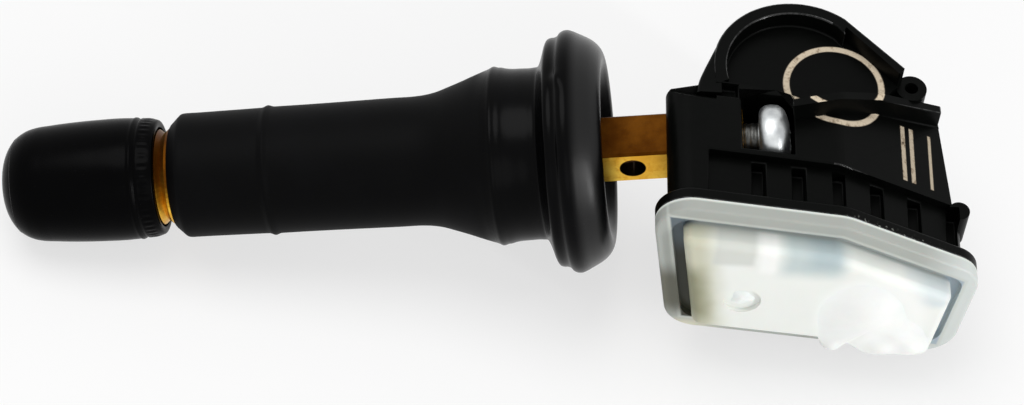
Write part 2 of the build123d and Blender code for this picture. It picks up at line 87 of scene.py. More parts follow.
def smoothLine(points, count):
    # cubic through the points: chord length as parameter, slopes from the neighbours on both sides
    points = np.asarray(points, float)
    gap = np.linalg.norm(np.diff(points, axis=0), axis=1)
    reach = np.concatenate([[0.0], np.cumsum(gap)])
    slope = np.gradient(points, reach, axis=0)
    want = np.linspace(0.0, reach[-1], count)
    left = np.clip(np.searchsorted(reach, want, side="right") - 1, 0, len(reach) - 2)
    span = (reach[left + 1] - reach[left])[:, None]
    share = (want - reach[left])[:, None] / span
    square, cube = share**2, share**3
    start = (2 * cube - 3 * square + 1) * points[left] + (cube - 2 * square + share) * span * slope[left]
    end = (3 * square - 2 * cube) * points[left + 1] + (cube - square) * span * slope[left + 1]
    return start + end


def fullTurn(count):
    # row of angles once round
    return np.linspace(0.0, 2 * np.pi, count, endpoint=False)[None, :]


def linked(name, data):
    thing = bpy.data.objects.new(name, data)
    bpy.context.scene.collection.objects.link(thing)
    return thing


def pieceFromGrid(name, grid, loopRows=False, sharp=40.0):
    # quads between neighbouring grid points; the columns close on themselves,
    # and open rows get a flat lid at each end
    rows, columns = grid.shape[:2]
    index = np.arange(rows * columns).reshape(rows, columns)
    lids = [] if loopRows else [index[0].tolist(), index[-1].tolist()]
    index = np.hstack([index, index[:, :1]])
    if loopRows:
        index = np.vstack([index, index[:1]])
    quads = np.stack([index[:-1, :-1], index[1:, :-1], index[1:, 1:], index[:-1, 1:]], axis=-1)
    mesh = bpy.data.meshes.new(name)
    mesh.from_pydata((grid.reshape(-1, 3) * metre).tolist(), [], quads.reshape(-1, 4).tolist() + lids)
    work = bmesh.new()
    work.from_mesh(mesh)
    bmesh.ops.recalc_face_normals(work, faces=work.faces)
    work.to_mesh(mesh)
    work.free()
    mesh.shade_smooth()
    mesh.set_sharp_from_angle(angle=np.radians(sharp))
    return linked(name, mesh)


class Wire:
    # one output socket; operators on values add Math nodes
    def __init__(self, tree, socket=None):
        self.tree = tree
        self.socket = socket

    def add(self, kind, settings, sockets, output=0):
        node = self.tree.nodes.new(kind)
        for key, value in settings.items():
            setattr(node, key, value)
        for key, value in sockets.items():
            if isinstance(value, Wire):
                self.tree.links.new(value.socket, node.inputs[key])
            else:
                node.inputs[key].default_value = value
        return Wire(self.tree, node.outputs[output] if len(node.outputs) else None)

    def maths(self, operation, first, second=0.0):
        return self.add("ShaderNodeMath", {"operation": operation}, {0: first, 1: second})

    def __add__(self, other):
        return self.maths("ADD", self, other)

    __radd__ = __add__

    def __sub__(self, other):
        return self.maths("SUBTRACT", self, other)

    def __rsub__(self, other):
        return self.maths("SUBTRACT", other, self)

    def __mul__(self, other):
        return self.maths("MULTIPLY", self, other)

    __rmul__ = __mul__

    def __pow__(self, other):
        return self.maths("POWER", self, other)

    def __abs__(self):
        return self.maths("ABSOLUTE", self)

    def __and__(self, other):
        return self.maths("MINIMUM", self, other)

    def __or__(self, other):
        return self.maths("MAXIMUM", self, other)

    def rise(self, low, high):
        # 0 below low, 1 above high, soft between
        return self.add("ShaderNodeMapRange", {"interpolation_type": "SMOOTHSTEP"},
                        {"Value": self, "From Min": low, "From Max": high})

    def fall(self, low, high):
        return 1.0 - self.rise(low, high)

    def between(self, low, high, soft):
        return self.rise(low - soft, low + soft) * self.fall(high - soft, high + soft)

    def output(self, name):
        return Wire(self.tree, self.socket.node.outputs[name])

    def tint(self, first, second):
        # colour mix, this value is the factor
        return self.add("ShaderNodeMix", {"data_type": "RGBA"},
                        {0: self, 6: colourValue(first), 7: colourValue(second)}, 2)


def colourValue(colour):
    return colour if isinstance(colour, Wire) else (*colour, 1.0)


def newFinish(name):
    finish = bpy.data.materials.new(name)
    finish.use_nodes = True
    finish.node_tree.nodes.clear()
    return finish, Wire(finish.node_tree)


def closeFinish(start, colour, roughness, bump, bumpDepth, **others):
    # others are further Principled sockets, under the short names listed here
    names = {
        "metallic": "Metallic", "specular": "Specular IOR Level", "coat": "Coat Weight",
        "coatRoughness": "Coat Roughness", "subsurface": "Subsurface Weight", "depth": "Subsurface Scale",
    }
    normal = start.add("ShaderNodeBump", {}, {"Height": bump, "Distance": bumpDepth * metre})
    sockets = {"Base Color": colourValue(colour), "Roughness": roughness, "Normal": normal}
    sockets.update({names[key]: value for key, value in others.items()})
    shader = start.add("ShaderNodeBsdfPrincipled", {}, sockets)
    start.add("ShaderNodeOutputMaterial", {}, {"Surface": shader})


def objectPlace(start):
    # object coordinates, and each axis of them in millimetres
    place = start.add("ShaderNodeTexCoord", {}, {}, "Object")
    axes = start.add("ShaderNodeSeparateXYZ", {}, {"Vector": place})
    return place, *(axes.output(name) * (1.0 / metre) for name in "XYZ")


def faceLevel(start):
    # upward part of the face's direction: 1 faces up, 0 sideways
    normal = start.add("ShaderNodeNewGeometry", {}, {}, "True Normal")
    return start.add("ShaderNodeSeparateXYZ", {}, {"Vector": normal}, "Z")


def grain(start, place, scale, detail=3.0, rough=0.55, stretch=(1.0, 1.0, 1.0)):
    # noise value; scale counts features per metre
    moved = start.add("ShaderNodeMapping", {}, {"Vector": place, "Scale": stretch})
    sockets = {"Vector": moved, "Scale": scale, "Detail": detail, "Roughness": rough}
    return start.add("ShaderNodeTexNoise", {}, sockets)


def metalFinish(name, dark, light, roughness, scale):
    finish, start = newFinish(name)
    place = objectPlace(start)[0]
    streak = grain(start, place, scale, 4.0, 0.6)
    fine = grain(start, place, scale * 7.0, 2.0)
    closeFinish(start, streak.rise(0.3, 0.7).tint(dark, light), roughness + streak * 0.12,
                streak * 0.5 + fine * 0.3, 0.006, metallic=1.0)
    return finish


def plainFinish(name, dark, light, roughness, scale, **others):
    finish, start = newFinish(name)
    place = objectPlace(start)[0]
    cloud = grain(start, place, scale, 4.0, 0.6)
    fine = grain(start, place, scale * 6.0, 2.0)
    closeFinish(start, cloud.rise(0.3, 0.7).tint(dark, light), roughness + fine * 0.1,
                cloud * 0.5 + fine * 0.4, 0.01, **others)
    return finish


# finishes of the inner pieces: name, dark tone, light tone, roughness, features per metre
finishes = {
    "seal_rubber": plainFinish("sealRubber", (0.02, 0.02, 0.02), (0.05, 0.05, 0.05), 0.7, 900.0),
    "core_brass": metalFinish("coreBrass", (0.55, 0.36, 0.12), (0.78, 0.56, 0.22), 0.25, 900.0),
    "spring_steel": metalFinish("springSteel", (0.38, 0.38, 0.38), (0.56, 0.56, 0.57), 0.28, 1200.0),
    "cell_steel": metalFinish("cellSteel", (0.50, 0.50, 0.49), (0.72, 0.72, 0.70), 0.22, 500.0),
    "tab_nickel": metalFinish("tabNickel", (0.52, 0.50, 0.46), (0.72, 0.70, 0.65), 0.24, 800.0),
    "board_laminate": plainFinish("boardLaminate", (0.012, 0.09, 0.035), (0.02, 0.15, 0.06), 0.3, 700.0,
                                  coat=0.4),
    "chip_resin": plainFinish("chipResin", (0.012, 0.012, 0.013), (0.03, 0.03, 0.032), 0.5, 1500.0),
    "ferrite": plainFinish("ferriteCore", (0.03, 0.028, 0.027), (0.06, 0.056, 0.053), 0.65, 1200.0),
    "copper_wire": metalFinish("copperWire", (0.58, 0.24, 0.10), (0.80, 0.38, 0.18), 0.25, 1800.0),
    "capacitor_ceramic": plainFinish("capacitorCeramic", (0.32, 0.22, 0.13), (0.45, 0.33, 0.21), 0.4,
                                     1500.0),
    "potting_gel": plainFinish("pottingGel", (0.55, 0.55, 0.50), (0.70, 0.70, 0.65), 0.2, 300.0),
}
nodeSlots = {
    "cap_seal": "seal_rubber", "core_body": "core_brass", "core_gasket": "seal_rubber",
    "core_pin": "core_brass", "core_cup": "core_brass", "coin_cell": "cell_steel",
    "cell_tab_top": "tab_nickel", "cell_tab_bottom": "tab_nickel", "circuit_board": "board_laminate",
    "pressure_chip": "chip_resin", "port_gasket": "seal_rubber", "lf_coil_core": "ferrite",
    "lf_coil_winding": "copper_wire", "crystal": "cell_steel", "chip_capacitors": "capacitor_ceramic",
    "antenna": "copper_wire", "potting": "potting_gel",
}
for nodeName, slotName in nodeSlots.items():
    node = frame["nodes"][nodeName]
    node.data.materials.clear()
    node.data.materials.append(finishes[slotName])
print("inner nodes finished:", len(nodeSlots))


def mount(piece, body, slotName, *nodes):
    piece.data.materials.clear()
    piece.data.materials.append(finishes[slotName])
    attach(piece, body)
    if nodes:
        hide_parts(*nodes)


cap = {
    "outer": [  # along and radius: skirt lip, bead, tapered barrel, dome
        (-30.1, 4.05), (-30.06, 4.35), (-30.14, 4.58), (-30.4, 4.7), (-30.8, 4.78), (-31.2, 4.82),
        (-31.42, 4.85), (-31.58, 4.76), (-31.74, 4.86), (-31.92, 4.95), (-32.1, 4.9), (-32.4, 4.91),
        (-33.0, 4.94), (-35.0, 4.93), (-37.0, 4.86), (-39.0, 4.72), (-40.3, 4.58), (-40.9, 4.42),
        (-41.45, 4.15), (-41.9, 3.82), (-42.25, 3.42), (-42.58, 2.88), (-42.82, 2.3), (-42.96, 1.7),
        (-43.01, 1.25), (-43.03, 0.8)],
    "inner": [(-41.9, 0.8), (-41.9, 3.6), (-41.4, 3.93), (-30.6, 3.93)],
    "steps": 170, "around": 240,
    "ribs": 48, "ribHeight": 0.03, "ribFrom": -31.35, "ribTo": -30.4, "ribRadius": 4.3,
    "dark": (0.0003, 0.0003, 0.0004), "light": (0.0018, 0.0018, 0.0021),
    "cloud": 160.0, "dust": 2600.0, "roughness": 0.2, "specular": 0.025, "bump": 0.03,
}


def capFinish():
    finish, start = newFinish("capPlastic")
    place = objectPlace(start)[0]
    cloud = grain(start, place, cap["cloud"])
    dust = grain(start, place, cap["dust"], 2.0).rise(0.66, 0.76)
    colour = (cloud * 0.6 + dust * 0.5).tint(cap["dark"], cap["light"])
    roughness = cap["roughness"] + cloud * 0.14 + dust * 0.15
    closeFinish(start, colour, roughness, cloud, cap["bump"], specular=cap["specular"])
    return finish


def makeCap():
    # surface of revolution: bore wall, skirt lip, tapered barrel and dome;
    # skirt ribs add height * cos(count * turn) on the outside, past ribRadius
    profile = np.vstack([np.array(cap["inner"]), smoothLine(cap["outer"], cap["steps"])])
    along, radius = profile[:, :1], profile[:, 1:]
    turn = fullTurn(cap["around"])
    middle = (cap["ribFrom"] + cap["ribTo"]) / 2
    across = (along - middle) / (middle - cap["ribFrom"])
    band = np.clip(1.0 - across**2, 0.0, 1.0) * (radius > cap["ribRadius"])
    ribbed = radius + band * cap["ribHeight"] * np.cos(cap["ribs"] * turn)
    return pieceFromGrid("screwCap", stemPoint(along, ribbed, turn))


finishes["cap_plastic"] = capFinish()
mount(makeCap(), "cap", "cap_plastic", "valve_cap")
print("cap made")

rubber = {
    "outer": [  # along and radius: chamfered end, ridge, cone, bead, groove, flange, lip, dish
        (-29.05, 3.95), (-29.05, 4.1), (-28.98, 4.22), (-28.8, 4.4), (-28.5, 4.69), (-28.3, 4.88),
        (-28.18, 4.97), (-28.0, 5.01), (-27.6, 5.02), (-27.0, 5.02), (-25.0, 5.04), (-22.4, 5.07),
        (-21.8, 5.08), (-21.5, 5.1), (-21.3, 5.18), (-21.1, 5.25), (-20.9, 5.19), (-20.7, 5.13),
        (-20.4, 5.12), (-20.0, 5.12), (-18.5, 5.12), (-17.0, 5.13), (-11.0, 5.2), (-9.0, 5.22),
        (-8.4, 5.27), (-7.4, 5.46), (-6.4, 5.79), (-5.4, 6.14), (-4.4, 6.52), (-3.5, 6.85),
        (-3.1, 6.99), (-2.9, 7.08), (-2.75, 7.17), (-2.6, 7.19), (-2.45, 7.15), (-2.3, 7.1),
        (-2.0, 7.07), (-1.7, 6.99), (-1.3, 6.93), (-0.5, 6.9), (0.5, 6.9), (0.95, 6.98),
        (1.15, 7.3), (1.35, 7.8), (1.55, 8.4), (1.7, 8.85), (1.85, 9.08), (2.1, 9.18),
        (2.4, 9.2), (2.65, 9.3), (2.9, 9.58), (3.2, 9.72), (3.5, 9.73), (3.9, 9.6),
        (4.3, 9.4), (4.7, 9.2), (5.1, 8.98), (5.5, 8.7), (5.85, 8.33), (6.1, 7.88),
        (6.2, 7.4), (6.12, 6.95), (5.85, 6.5), (5.4, 5.95), (4.95, 5.3), (4.65, 4.6),
        (4.48, 3.9), (4.42, 3.13)],
    "bore": [(-25.6, 3.13), (-25.9, 3.87)],
    "steps": 440, "around": 160,
    "nub": {  # turn and spread are radians; it fades in past the radius "from"
        "along": 2.75, "wide": 0.5, "turn": 1.57, "spread": 0.07, "height": 0.25, "from": 8.0, "fade": 0.8},
    "dark": (0.0003, 0.0003, 0.0004), "bloom": (0.0020, 0.0021, 0.0025),
    "cloud": 130.0, "pore": 3200.0, "roughness": 0.18, "specular": 0.05, "bump": 0.03,
    "sleeveEnd": (-4.2, -2.9), "sleeveDull": 0.3,  # the sleeve is dull, the bead and flange are shiny
    "polished": (4.1, 6.0, 0.5), "polish": 0.42, "polishRoughness": 0.38,  # flange's outer face, rubbed
}


def rubberFinish():
    finish, start = newFinish("stemRubber")
    place, x, _, z = objectPlace(start)
    along = stemAlong(x, z)
    cloud = grain(start, place, rubber["cloud"], 4.0)
    pore = grain(start, place, rubber["pore"], 2.0)
    bloom = cloud.rise(0.45, 0.75) * 0.6 + pore * 0.25
    colour = bloom.tint(rubber["dark"], rubber["bloom"])
    dull = along.fall(*rubber["sleeveEnd"]) * rubber["sleeveDull"]
    roughness = rubber["roughness"] + cloud * 0.1 + pore * 0.05 + dull
    polished = along.between(*rubber["polished"]) * rubber["polish"]
    closeFinish(start, colour, roughness, cloud * 0.6 + pore * 0.12, rubber["bump"],
                specular=rubber["specular"], coat=polished, coatRoughness=rubber["polishRoughness"])
    return finish


def makeRubber():
    # surface of revolution with a small moulding nub: radius + height * exp(-(along, turn offsets)^2)
    profile = np.vstack([smoothLine(rubber["outer"], rubber["steps"]), np.array(rubber["bore"])])
    turn = fullTurn(rubber["around"])
    along, radius = profile[:, :1], profile[:, 1:]
    nub = rubber["nub"]
    outside = np.clip((radius - nub["from"]) / nub["fade"], 0.0, 1.0)
    lift = np.exp(-((along - nub["along"]) / nub["wide"])**2 - ((turn - nub["turn"]) / nub["spread"])**2)
    grid = stemPoint(along, radius + nub["height"] * lift * outside, turn)
    return pieceFromGrid("rubberStem", grid, loopRows=True)


finishes["stem_rubber"] = rubberFinish()
mount(makeRubber(), "sensor", "stem_rubber", "rubber_stem")
print("rubber stem made")

rounding = {
    "merge": 0.002,  # points nearer than this are one
    "flat": 0.5,  # faces that turn by fewer degrees are joined
    "sharp": 30.0,  # edges that turn by more degrees stay sharp
    "corner": 40.0,  # edges that turn by more degrees are rounded
    "room": 2.5,  # least length, in bevel widths, of the edges that meet a rounded one
    "strips": 2,
    "bend": 0.1,  # least turn, in radians, at a strip on an outer edge
}


def softened(nodeName, name, width=0.0):
    # merged copy of a CAD node; an edge with room for it at both ends is rounded by a bevel of that width,
    # and the strips along outer edges carry the attribute wornEdge
    mesh = frame["nodes"][nodeName].data.copy()
    mesh.name = name
    if "custom_normal" in mesh.attributes:
        mesh.attributes.remove(mesh.attributes["custom_normal"])  # stored for the loose triangles
    work = bmesh.new()
    work.from_mesh(mesh)
    bmesh.ops.remove_doubles(work, verts=work.verts, dist=rounding["merge"] * metre)
    if width > 0.0:
        flat = np.radians(rounding["flat"])
        bmesh.ops.dissolve_limit(work, angle_limit=flat, verts=work.verts, edges=work.edges)
    worn = work.faces.layers.float.new("wornEdge")
    turn = {edge: edge.calc_face_angle(0.0) for edge in work.edges}
    for edge in work.edges:
        edge.smooth = turn[edge] < np.radians(rounding["sharp"])
    if width > 0.0:
        least = rounding["room"] * width * metre
        room = {vert: min(edge.calc_length() for edge in vert.link_edges) > least for vert in work.verts}
        corner = np.radians(rounding["corner"])
        corners = [edge for edge in work.edges
                   if turn[edge] > corner and all(room[vert] for vert in edge.verts)]
        made = bmesh.ops.bevel(work, geom=corners, affect="EDGES", offset=width * metre,
                               offset_type="OFFSET", segments=rounding["strips"], profile=0.5,
                               clamp_overlap=False, loop_slide=True, material=-1)
        for strip in made["faces"]:
            bends = [edge.calc_face_angle_signed(0.0) for edge in strip.edges]
            strip[worn] = float(max(bends) > rounding["bend"] and min(bends) > -rounding["bend"])
    for face in work.faces:
        face.smooth = True
    work.to_mesh(mesh)
    work.free()
    piece = linked(name, mesh)
    normals = piece.modifiers.new("flatNormals", "WEIGHTED_NORMAL")
    normals.keep_sharp = True
    return piece


housing = {
    "bevel": 0.12,
    "dark": (0.0004, 0.0005, 0.0004), "light": (0.0024, 0.0028, 0.0024),
    "cloud": 210.0, "fibre": 2100.0, "speck": 3400.0, "roughness": 0.24, "specular": 0.045, "bump": 0.02,
    "mark": {
        "x": 23.9, "y": 4.85, "radius": 3.85, "band": 0.25, "bandSoft": 0.06, "soft": 0.05,
        "floor": (2.0, 6.0), "ribTop": (6.6, 6.7), "ribSpan": (21.5, 23.4),  # where the ring crosses the rib
        "footX": (20.0, 23.0), "footY": (1.45, 2.4),  # kept clear at the rib's foot
        "bars": [(29.5, 29.85), (30.25, 30.6), (31.9, 32.15)], "barSpan": (-2.5, 2.9), "barInk": 0.7},
    "ink": (0.66, 0.56, 0.42), "inkWorn": (0.34, 0.26, 0.18), "wear": 1700.0,
    "crumb": (0.22, 0.23, 0.21), "crumbSize": 4200.0,  # weld crumbs beside the cover
    "crumbSpan": (24.5, 32.0, 2.0), "crumbEdge": (-9.0, -8.5),
    "edgeLevel": (0.15, 0.5), "edgeRoughness": 0.25,  # shiny outer edges of upper faces
}


def printMask(x, y, z):
    # ring on the floor with one dash on the rib, and plain bars; 1 where there is ink
    mark = housing["mark"]
    soft = mark["soft"]
    away = ((x - mark["x"])**2.0 + (y - mark["y"])**2.0)**0.5
    ring = abs(away - mark["radius"]).fall(mark["band"] - mark["bandSoft"], mark["band"] + mark["bandSoft"])
    onRib = z.rise(*mark["ribTop"]) * x.between(*mark["ribSpan"], soft)
    foot = x.between(*mark["footX"], soft) * y.between(*mark["footY"], soft) * (1.0 - onRib)
    ink = ring * (z.between(*mark["floor"], soft) | onRib) * (1.0 - foot)
    for bar in mark["bars"]:
        ink = ink | x.between(*bar, soft) * y.between(*mark["barSpan"], soft) * mark["barInk"]
    return ink


def housingFinish():
    finish, start = newFinish("housingNylon")
    place, x, y, z = objectPlace(start)
    level = faceLevel(start)
    cloud = grain(start, place, housing["cloud"], 4.0)
    fibre = grain(start, place, housing["fibre"], 3.0, 0.6, (0.45, 1.0, 1.0))
    speck = grain(start, place, housing["speck"], 1.0).rise(0.70, 0.76)
    plastic = (cloud * 0.5 + fibre * 0.4 + speck * 0.5).tint(housing["dark"], housing["light"])
    wear = grain(start, place, housing["wear"], 3.0, 0.7)
    printed = printMask(x, y, z) * level.rise(0.6, 0.8) * wear.rise(0.22, 0.36)
    ink = wear.rise(0.30, 0.52).tint(housing["inkWorn"], housing["ink"])
    weld = x.between(*housing["crumbSpan"]) * y.fall(*housing["crumbEdge"])
    crumbs = grain(start, place, housing["crumbSize"], 1.0).rise(0.62, 0.68) * weld
    colour = (crumbs * 0.8).tint(printed.tint(plastic, ink), housing["crumb"])
    edge = start.add("ShaderNodeAttribute", {"attribute_name": "wornEdge"}, {}, "Fac")
    rubbed = edge * level.rise(*housing["edgeLevel"]) * (0.35 + wear.rise(0.35, 0.6) * 0.65)
    closeFinish(start, colour, housing["roughness"] + cloud * 0.14 + fibre * 0.10 + printed * 0.3,
                cloud * 0.4 + fibre * 0.35 + printed * 0.3 + crumbs * 0.6, housing["bump"],
                specular=housing["specular"], coat=rubbed, coatRoughness=housing["edgeRoughness"])
    return finish


finishes["housing_nylon"] = housingFinish()
mount(softened("housing", "housingShell", housing["bevel"]), "sensor", "housing_nylon", "housing")
print("housing made")

cover = {
    "sides": {  # a point x, z on each side of the outline, and the side's inward direction
        "topLeft": (24.3, 6.2, -0.1132, -0.9936), "topRight": (24.3, 6.2, -0.4305, -0.9026),
        "right": (35.7, 0.0, -0.9962, 0.0872), "bottom": (24.3, -9.25, 0.1045, 0.9945),
        "left": (10.1, 0.0, 0.9848, 0.1736),
    },
    "tones": {
        "edge": (0.72, 0.75, 0.70), "lip": (0.40, 0.42, 0.39), "lipRight": (0.62, 0.66, 0.64),
        "lipLine": (0.56, 0.59, 0.55), "cream": (0.66, 0.64, 0.50), "smoke": (0.13, 0.13, 0.10),
        "channel": (0.40, 0.43, 0.42), "shadeNavy": (0.11, 0.14, 0.16), "shadeOlive": (0.040, 0.042, 0.028),
        "blue": (0.36, 0.43, 0.48), "panel": (0.80, 0.82, 0.78), "panelClear": (0.88, 0.90, 0.86),
        "amber": (0.58, 0.58, 0.45), "moss": (0.27, 0.27, 0.17), "frost": (0.60, 0.62, 0.575),
        "window": (0.50, 0.59, 0.59), "windowCore": (0.38, 0.48, 0.51), "pale": (0.66, 0.73, 0.75),
        "white": (0.92, 0.93, 0.90),
    },
    "spans": {  # X along the cover, Z up it, In from its left or right side; a third number is softness
        "amberIn": (3.2, 5.8), "mossIn": (2.6, 4.6), "mossZ": (-4.8, 1.8, 1.3),
        "frostX": (14.0, 17.3, 0.35), "frostZ": (2.4, 3.2), "postX": (17.7, 19.1, 0.35),
        "postZ": (1.6, 2.6), "windowX": (19.6, 24.4, 0.8), "windowZ": (1.0, 3.0),
        "coreX": (21.6, 24.2, 0.9), "coreZ": (2.9, 5.2, 0.8), "paleX": (29.4, 33.2, 0.5),
        "paleZ": (-2.0, -0.8), "shadeIn": (2.3, 3.6), "shadeZ": (0.5, 3.5), "blueIn": (2.3, 3.2),
        "lipRightIn": (1.0, 6.0), "smokeIn": (1.4, 2.6), "smokeZ": (-6.0, -0.4, 1.5),
        "creamX": (13.0, 17.0), "creamZ": (-8.0, -6.6),
        "line": (0.9, 1.15), "channel": (1.2, 1.4), "panel": (2.0, 2.25),  # depth inside the outline
        "rimY": (-9.4, -9.2), "panelY": (-10.2, -9.75),  # levels of the rim's side and the panel
    },
    "mass": {"x": 27.4, "z": -3.2, "wide": 0.045, "tall": 0.032, "fade": (0.5, 1.2)},  # under the sealant
    "cloud": 150.0, "fine": 1400.0, "roughness": 0.32, "specular": 0.22, "bump": 0.015,
    "subsurface": 0.08, "softDepth": 1.0,
}


def coverFinish():
    finish, start = newFinish("coverNylon")
    place, x, y, z = objectPlace(start)
    tones, spans, mass = cover["tones"], cover["spans"], cover["mass"]
    cloud = grain(start, place, cover["cloud"])
    fine = grain(start, place, cover["fine"])
    soft = cloud * 1.6 - 0.8  # shifts the soft borders by part of a millimetre
    depth = {name: (x - sideX) * inX + (z - sideZ) * inZ
             for name, (sideX, sideZ, inX, inZ) in cover["sides"].items()}
    inset = depth["topLeft"] & depth["topRight"] & depth["right"] & depth["bottom"] & depth["left"]
    # raised panel, with what shows through it
    panel = (soft * 0.6 + 0.5).tint(tones["panel"], tones["panelClear"])
    panel = (depth["left"] + soft).fall(*spans["amberIn"]).tint(panel, tones["amber"])
    moss = (depth["left"] + soft).fall(*spans["mossIn"]) * (z + soft).between(*spans["mossZ"])
    panel = moss.tint(panel, tones["moss"])
    frost = (x + soft).between(*spans["frostX"]) * (z + soft * 0.5).rise(*spans["frostZ"])
    panel = (frost * 0.75).tint(panel, tones["frost"])
    post = (x + soft * 0.5).between(*spans["postX"]) * (z + soft).rise(*spans["postZ"])
    panel = post.tint(panel, tones["white"])
    window = (x + soft * 0.8).between(*spans["windowX"]) * (z + soft).rise(*spans["windowZ"])
    core = (x + soft).between(*spans["coreX"]) * (z + soft).between(*spans["coreZ"])
    panel = (window * 0.85).tint(panel, core.tint(tones["window"], tones["windowCore"]))
    pale = (x + soft).between(*spans["paleX"]) * (z + soft).rise(*spans["paleZ"])
    panel = (pale * 0.8).tint(panel, tones["pale"])
    away = (x - mass["x"] + soft)**2.0 * mass["wide"] + (z - mass["z"] + soft)**2.0 * mass["tall"]
    panel = away.fall(*mass["fade"]).tint(panel, tones["white"])
    # channel around it, with painted shade in the groove: dark at the left, blue at the right
    # dark olive and navy tones in the left of the channel: painted shade
    dark = z.rise(*spans["shadeZ"]).tint(tones["shadeOlive"], tones["shadeNavy"])
    channel = depth["left"].fall(*spans["shadeIn"]).tint(tones["channel"], dark)
    channel = depth["right"].fall(*spans["blueIn"]).tint(channel, tones["blue"])
    # rim: a lighter inner line, a painted highlight along its outer side, lighter at the right, smoky at the
    # left, cream at the lower left
    lip = (depth["right"] + soft).fall(*spans["lipRightIn"]).tint(tones["lip"], tones["lipRight"])
    lip = (inset.rise(*spans["line"]) * 0.8).tint(lip, tones["lipLine"])
    smoke = (depth["left"] + soft * 0.3).fall(*spans["smokeIn"]) * (z + soft).between(*spans["smokeZ"])
    lip = smoke.tint(lip, tones["smoke"])
    cream = (x + soft).fall(*spans["creamX"]) * z.fall(*spans["creamZ"])
    lip = cream.tint(lip, tones["cream"])
    # the rim's outer side gets the light edge tone: painted highlight
    lip = y.rise(*spans["rimY"]).tint(lip, tones["edge"])
    colour = inset.rise(*spans["channel"]).tint(lip, channel)
    raised = (inset + soft * 0.1).rise(*spans["panel"]) * y.fall(*spans["panelY"])
    closeFinish(start, raised.tint(colour, panel), cover["roughness"] + cloud * 0.14,
                cloud * 0.4 + fine * 0.15, cover["bump"], specular=cover["specular"],
                subsurface=cover["subsurface"], depth=cover["softDepth"] * metre)
    return finish


finishes["cover_nylon"] = coverFinish()
mount(softened("cover", "coverPlate"), "sensor", "cover_nylon", "cover")
print("cover made")

brass = {
    "holeX": 7.951, "holeZ": 1.546, "holeRadius": 1.03, "holeShade": (0.012, 0.006, 0.001),
    "pitted": (0.78, 0.40, 0.03), "bright": (1.0, 0.66, 0.09),
    "shadedBrown": (0.055, 0.016, 0.001), "tan": (0.105, 0.036, 0.003),  # upper faces are painted a dark dull brown: painted shade
    "stain": 420.0, "drawn": 900.0, "pit": 1900.0, "roughness": 0.27, "bump": 0.012,
}


def brassFinish():
    finish, start = newFinish("stemBrass")
    place, x, _, z = objectPlace(start)
    # inside the cross hole the colour is painted near black: painted shade in the hole
    fromHole = ((x - brass["holeX"])**2.0 + (z - brass["holeZ"])**2.0)**0.5
    outside = fromHole.rise(brass["holeRadius"] - 0.01, brass["holeRadius"] + 0.06)
    upward = faceLevel(start).rise(0.05, 0.7)
    stain = grain(start, place, brass["stain"], 5.0, 0.6)
    drawn = grain(start, place, brass["drawn"], 3.0, 0.5, (0.12, 1.0, 1.0))
    pit = grain(start, place, brass["pit"], 3.0, 0.6).rise(0.52, 0.66)
    bright = (stain.rise(0.35, 0.7) - pit * 0.5).tint(brass["pitted"], brass["bright"])
    # upper faces get the dark brown tones, the others bright brass: painted shade on the top faces
    dull = stain.rise(0.3, 0.7).tint(brass["shadedBrown"], brass["tan"])
    colour = outside.tint(brass["holeShade"], upward.tint(bright, dull))
    roughness = brass["roughness"] + drawn * 0.14 + upward * 0.12
    closeFinish(start, colour, roughness, drawn + pit * 0.4, brass["bump"], metallic=1.0)
    return finish


finishes["stem_brass"] = brassFinish()
mount(softened("brass_stem", "brassInsert"), "sensor", "stem_brass", "brass_stem")
print("brass made")

coreSpring = {"shoulder": -27.4, "length": 11.34}  # fixed end on the stem axis, and free length


def makeSpring():
    # merged copy of the return spring; the pin's travel is read, but the copy is not shortened
    spring = softened("core_spring", "returnSpring")
    mount(spring, "sensor", "spring_steel", "core_spring")
    travel = next(joint["range_m"][1] for joint in frame["joints"] if joint["name"] == "pin_press") / metre
    tuple(stemPoint(1.0, 0.0, 0.0))
    tuple(stemPoint(coreSpring["shoulder"], 0.0, 0.0) * metre)
    1.0 - travel / coreSpring["length"]
    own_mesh(spring)


makeSpring()
print("spring made")

gusset = {
    "outer": [(14.75, 8.3), (14.3, 7.25), (13.75, 5.95), (13.25, 4.75), (12.88, 3.75), (12.6, 2.4)],
    "inner": [(15.6, 8.1), (15.1, 7.2), (14.7, 6.1), (14.6, 5.0), (14.6, 4.0), (14.6, 2.4)],
    "top": 6.28, "bottom": -4.5, "edge": 0.35, "edgeSteps": 7, "steps": 40,
}


def makeGusset():
    # wall between the hood and the tower: a rounded section carried along both plan lines,
    # section = share of the way from inner to outer line, and level
    outer = smoothLine(gusset["outer"], gusset["steps"])
    inner = smoothLine(gusset["inner"], gusset["steps"])
    width = np.linalg.norm(outer - inner, axis=1)[:, None]
    none = np.zeros_like(width)
    corner = np.linspace(0.0, np.pi / 2, gusset["edgeSteps"])[None, :]
    top, edge = gusset["top"], gusset["edge"]
    share = np.hstack([none, none + 1.0, 1.0 - edge * (1.0 - np.cos(corner)) / width, none])
    level = np.concatenate([[gusset["bottom"]] * 2, top - edge * (1.0 - np.sin(corner[0])), [top]])
    flat = inner[:, None, :] + share[:, :, None] * (outer - inner)[:, None, :]
    grid = np.concatenate([flat, np.broadcast_to(level[None, :, None], flat.shape[:2] + (1,))], axis=-1)
    return pieceFromGrid("hoodGusset", grid)


mount(makeGusset(), "sensor", "housing_nylon")
print("gusset made")

